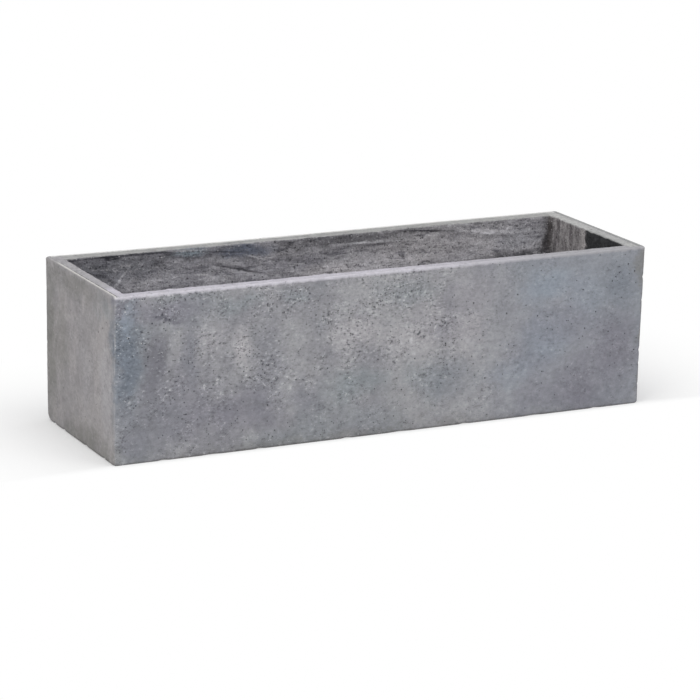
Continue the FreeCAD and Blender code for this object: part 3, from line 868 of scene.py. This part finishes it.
# Lines on the back wall: dark lines of painted shade under the rim and in its crevices, and pale ledge and scratch
# lines: colour, share, middle, half sizes, fall to the right in degrees.
BACKING_STROKES = (
    (SHADE_LINE, 0.85, (-268, INNER_BACK, 224.5), (112, 25, 2.0), 0),
    (SHADE_LINE, 0.8, (-367, INNER_BACK, 224), (10, 25, 2.5), 0),
    (SHADE_LINE, 0.95, (-318, INNER_BACK, 223.5), (9, 25, 2.6), 35),
    (SHADE_LINE, 0.9, (-304, INNER_BACK, 221), (10, 25, 1.6), -10),
    (SHADE_LINE, 0.7, (-140, INNER_BACK, 217), (52, 25, 1.7), 5),
    (SHADE_LINE, 0.7, (-118, INNER_BACK, 190), (48, 25, 2), 14),
    (SHADE_LINE, 0.8, (176, INNER_BACK, 221), (46, 25, 1.8), 5),
    (PALE_LINE, 0.5, (82, INNER_BACK, 212), (70, 25, 1.6), 1),
    (PALE_LINE, 0.6, (292, INNER_BACK, 209), (52, 25, 1.8), 3),
    (PALE_LINE, 0.6, (-205, INNER_BACK, 224), (30, 25, 1.8), 3),
    (PALE_LINE, 0.6, (-300, INNER_BACK, 190), (30, 25, 2.2), -50),
    (PALE_LINE, 0.5, (-322, INNER_BACK, 180), (22, 25, 2), -46),
    (PALE_LINE, 0.5, (-90, INNER_BACK, 204), (26, 25, 1.6), 18),
)


def backing_concrete():
    """Rough hand-packed concrete: ledges, scratches, crumbs and colour patches, with painted shade in its corners,
    under the rim, in crevices and gaps and over the front of the right end wall, and a rim partly painted light.
    """
    paint = Paint("backing_concrete")
    loose = paint.loosened(0.02, 9 * MM)
    ragged = paint.loosened(0.004, 2 * MM)
    broad = paint.cloud(0.05, 4, 0.6)
    ledges = paint.cloud(0.010, 4, 0.7, paint.laid(scale=(0.45, 1, 1), turn=(0, 0.12, 0), where=ragged))
    scratches = paint.cloud(0.005, 3, 0.65, paint.laid(scale=(0.2, 1, 1), turn=(0, -0.5, 0), where=ragged))
    crumbs = paint.cloud(0.0032, 3, 0.8)
    # Painted shade: the inside darkens towards the left end.
    leftward_shade = paint.x.rise(-0.36, 0.1)
    color = paint.blend(leftward_shade, tone(160, 159, 165), tone(178, 176, 180))
    color = paint.blend(broad.rise(0.58, 0.4) * 0.45, color, tone(130, 129, 136))
    end = paint.x.rise(0.374, 0.377)
    drips = paint.cloud(0.014, 4, 0.7, paint.laid(scale=(1, 1, 0.3), where=ragged))
    end_color = paint.blend(drips.rise(0.34, 0.66), tone(92, 87, 87), tone(158, 154, 153))
    color = paint.blend(end * 0.85, color, end_color)
    for patch, share, centre, radii in BACKING_PATCHES:
        color = paint.blend(paint.patch(loose, centre, radii) * share, color, patch)
    marked = 1 - end * 0.8
    color = paint.blend(scratches.rise(0.44, 0.34) * marked * 0.6, color, tone(84, 84, 92))
    color = paint.blend(scratches.rise(0.58, 0.68) * marked * 0.55, color, tone(206, 204, 208))
    back_wall = paint.y.rise(0.097, 0.102)
    # Painted shade: the back wall darkens towards the top, under the rim, less so to the right.
    under_rim_shade = paint.z.rise(0.18, 0.216) * (1 - paint.x.rise(0.12, 0.26) * 0.7) * back_wall
    color = paint.shade(color, 1.1 - under_rim_shade * 0.42)
    # The dark lines are painted shade; the pale ones are ledge and scratch lines.
    for stroke, share, centre, radii, slope in BACKING_STROKES:
        color = paint.blend(paint.patch(ragged, centre, radii, slope) * share, color, stroke)
    # Painted shade over the front half of the inner right end wall, with a pale ragged band along its edge.
    front_half = paint.y + (ledges - 0.5) * 20 * MM
    end_wall_shade = end * front_half.rise(0.007, -0.001)
    color = paint.blend(end * front_half.rise(0.003, 0.007) * front_half.rise(0.02, 0.01) * 0.5, color, tone(190, 185, 183))
    color = paint.blend(end_wall_shade * 0.93, color, tone(44, 46, 48))
    crumb_tops = paint.spots(0.0045, 0.12, 0.3, 0.4, paint.laid(move=(0.4, 0.1, 0.7), where=ragged))
    holes = paint.spots(0.006, 0.1, 0.28, 0.55, ragged)
    sunk = paint.node("ShaderNodeAttribute", {"attribute_name": "pit"}, None, "Fac")

    # The rim is painted paler than the walls, partly a paler top and partly painted light from above, greyer to the
    # right.
    rim = (paint.z + (ledges - 0.5) * 4 * MM).rise(0.2255, 0.2275)
    left = paint.x.rise(-0.378, -0.380) * paint.y.rise(-0.085, -0.055)
    right = paint.x.rise(0.378, 0.380)
    rim_color_and_light = paint.blend(paint.x.rise(0.0, 0.34), tone(191, 188, 197), tone(162, 161, 165))
    rim_color_and_light = paint.blend(paint.y.rise(-0.1, 0.1), rim_color_and_light, tone(164, 164, 163))
    rim_color_and_light = paint.blend(left * 0.9, rim_color_and_light, tone(165, 163, 166))
    rim_color_and_light = paint.blend(right * 0.8, rim_color_and_light, tone(188, 188, 187))
    factor = (crumbs - 0.5) * 1.9 + (ledges - 0.5) * 1.5 + 1
    color = paint.shade(color, factor)
    color = paint.blend(crumb_tops * (1 - end_wall_shade) * 0.5, color, tone(210, 208, 211))
    color = paint.blend(rim * 0.9, color, paint.shade(rim_color_and_light, factor * 0.4 + 0.6))
    # Painted shade in the seam's groove.
    color = paint.blend(paint.seam() * 0.8, color, tone(62, 62, 64))
    # Painted shade in the gaps between the crumbs and in the sunk gaps.
    color = paint.blend((1 - (1 - holes * 0.65) * (1 - sunk * 0.75)) * (1 - rim * 0.5), color, tone(40, 40, 44))
    height = broad * 0.4 + ledges * 1.1 + scratches * 0.9 + crumbs * 0.9 + crumb_tops * 0.3 - holes * 0.6
    return paint.finish(color, crumbs * 0.1 + 0.85, height, 1.6 * MM, **{"Specular IOR Level": 0.2})


def scrim_weave(name, across):
    """Open glass-fibre weave soaked in cement, its threads along two of the axes."""
    paint = Paint(name)
    turn = 2 * math.pi / (5 * MM)
    axes = (paint.x, paint.y, paint.z)
    warp, weft = (axes[axis].maths("SINE", axes[axis] * turn) for axis in across)
    thread = warp.maths("MAXIMUM", warp, weft).rise(0.2, 0.9)
    fuzz = paint.cloud(0.0012, 3, 0.7)
    color = paint.blend(thread, tone(120, 119, 116), tone(205, 204, 194))
    color = paint.blend(fuzz.rise(0.6, 0.4) * 0.4, color, tone(96, 95, 92))
    return paint.finish(color, fuzz * 0.3 + 0.6, thread + fuzz * 0.3, 0.4 * MM)


def plug_rubber():
    """Matt black moulded rubber with a dusting of cement."""
    paint = Paint("plug_rubber")
    dust = paint.cloud(0.006, 4, 0.65)
    grain = paint.cloud(0.0008, 2, 0.6)
    color = paint.blend(dust.rise(0.5, 0.75) * 0.5, tone(38, 38, 39), tone(120, 119, 117))
    return paint.finish(color, dust * 0.3 + 0.5, grain, 0.08 * MM)


def dress_node(name, material):
    """Gives a casting that keeps its shape its finish."""
    for material_slot in frame["nodes"][name].material_slots:
        material_slot.material = material


for piece, body, node, slot, material in (
    (coat, "trough", "face_coat", "face_concrete", face_concrete()),
    (backing, "trough", "fibre_backing", "backing_concrete", backing_concrete()),
):
    piece.data.materials.clear()
    piece.data.materials.append(material)
    bpy.ops.object.select_all(action="DESELECT")
    piece.select_set(True)
    bpy.context.view_layer.objects.active = piece
    bpy.ops.object.shade_smooth_by_angle(angle=FACETED)
    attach(piece, body)
    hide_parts(node)

long_weave = scrim_weave("glass_fibre_scrim", (0, 2))
end_weave = scrim_weave("glass_fibre_scrim_ends", (1, 2))
floor_weave = scrim_weave("glass_fibre_scrim_floor", (0, 1))
dress_node("scrim_front", long_weave)
dress_node("scrim_back", long_weave)
dress_node("scrim_left_end", end_weave)
dress_node("scrim_right_end", end_weave)
dress_node("scrim_floor", floor_weave)
rubber = plug_rubber()
for plug in ("drain_plug_left", "drain_plug_centre", "drain_plug_right"):
    dress_node(plug, rubber)

# ---------------------------------------------------------------- the studio


def set_camera():
    """The photo's view, from the front left and a little above, with a slight roll."""
    turn, rise, roll = (math.radians(angle) for angle in (-26.53, 14.83, 1.10))
    back = Vector((math.sin(turn) * math.cos(rise), -math.cos(turn) * math.cos(rise), math.sin(rise)))
    level = Vector((math.cos(turn), math.sin(turn), 0))
    upright = back.cross(level)
    right = math.cos(roll) * level + math.sin(roll) * upright
    up = math.cos(roll) * upright - math.sin(roll) * level
    camera = bpy.data.objects.new("camera", bpy.data.cameras.new("camera"))
    camera.data.lens, camera.data.sensor_width = 156.7, 36
    camera.data.clip_end = 50
    aim = Vector((0.0029, 0, 0.0876))
    matrix = Matrix((right, up, back)).transposed().to_4x4()
    matrix.translation = aim + back * 4.243
    camera.matrix_world = matrix
    bpy.context.scene.collection.objects.link(camera)
    bpy.context.scene.camera = camera


def softbox(name, place, aim, width, height, power):
    """A large rectangular studio light."""
    lamp = bpy.data.lights.new(name, "AREA")
    lamp.shape, lamp.size, lamp.size_y, lamp.energy = "RECTANGLE", width, height, power
    light = bpy.data.objects.new(name, lamp)
    light.location = place
    light.rotation_euler = (Vector(aim) - Vector(place)).to_track_quat("-Z", "Y").to_euler()
    bpy.context.scene.collection.objects.link(light)


def lay_floor():
    """A wide, pale, matt floor, which the camera sees turn white away from the trough."""
    bpy.ops.object.select_all(action="DESELECT")
    bpy.ops.mesh.primitive_plane_add(size=40)
    floor = bpy.context.object
    floor.name = "studio_floor"
    paint = Paint("studio_floor")
    sideways = paint.vector("SUBTRACT", paint.vector("ABSOLUTE", paint.where, (0, 0, 0)), (0.4, 0.127, 0))
    beside = paint.vector("MAXIMUM", sideways, (0, 0, 0))
    away = paint.node("ShaderNodeVectorMath", {"operation": "LENGTH"}, {0: beside}, "Value")
    rays = paint.node("ShaderNodeLightPath")
    seen = rays.maths("MAXIMUM", rays.maths("MAXIMUM", rays, rays.other("Is Glossy Ray")), rays.other("Is Transmission Ray"))
    matt = paint.node("ShaderNodeBsdfDiffuse", None, {"Color": (0.9, 0.9, 0.9, 1)})
    white = paint.node("ShaderNodeEmission", None, {"Strength": 1.0})
    before = paint.y.rise(-0.1, -0.14)
    share = before.maths("MAXIMUM", before, away.rise(-0.14, 0.3)) * seen
    surface = paint.node("ShaderNodeMixShader", None, {0: share, 1: matt, 2: white})
    paint.node("ShaderNodeOutputMaterial", None, {"Surface": surface})
    floor.data.materials.append(paint.material)


def light_world():
    """A dim even surround, which the camera sees as white."""
    world = bpy.data.worlds.new("studio")
    bpy.context.scene.world = world
    world.use_nodes = True
    nodes, links = world.node_tree.nodes, world.node_tree.links
    nodes.clear()
    rays = nodes.new("ShaderNodeLightPath")
    seen = nodes.new("ShaderNodeMath")
    seen.operation = "MAXIMUM"
    links.new(rays.outputs["Is Camera Ray"], seen.inputs[0])
    links.new(rays.outputs["Is Glossy Ray"], seen.inputs[1])
    strength = nodes.new("ShaderNodeMapRange")
    strength.inputs["To Min"].default_value = 0.5
    strength.inputs["To Max"].default_value = 1.0
    links.new(seen.outputs[0], strength.inputs[0])
    surround = nodes.new("ShaderNodeBackground")
    links.new(strength.outputs[0], surround.inputs["Strength"])
    output = nodes.new("ShaderNodeOutputWorld")
    links.new(surround.outputs[0], output.inputs["Surface"])


set_camera()
lay_floor()
light_world()
softbox("overhead", (0.0, -0.3, 2.4), (0, 0, 0.1), 3.2, 2.6, 44)
softbox("front_left", (-2.2, -1.5, 1.0), (0, 0, 0.1), 1.4, 1.4, 22)
softbox("front_right", (1.5, -2.2, 1.0), (0, 0, 0.1), 1.2, 1.2, 8)
bpy.context.scene.view_settings.view_transform = "Standard"
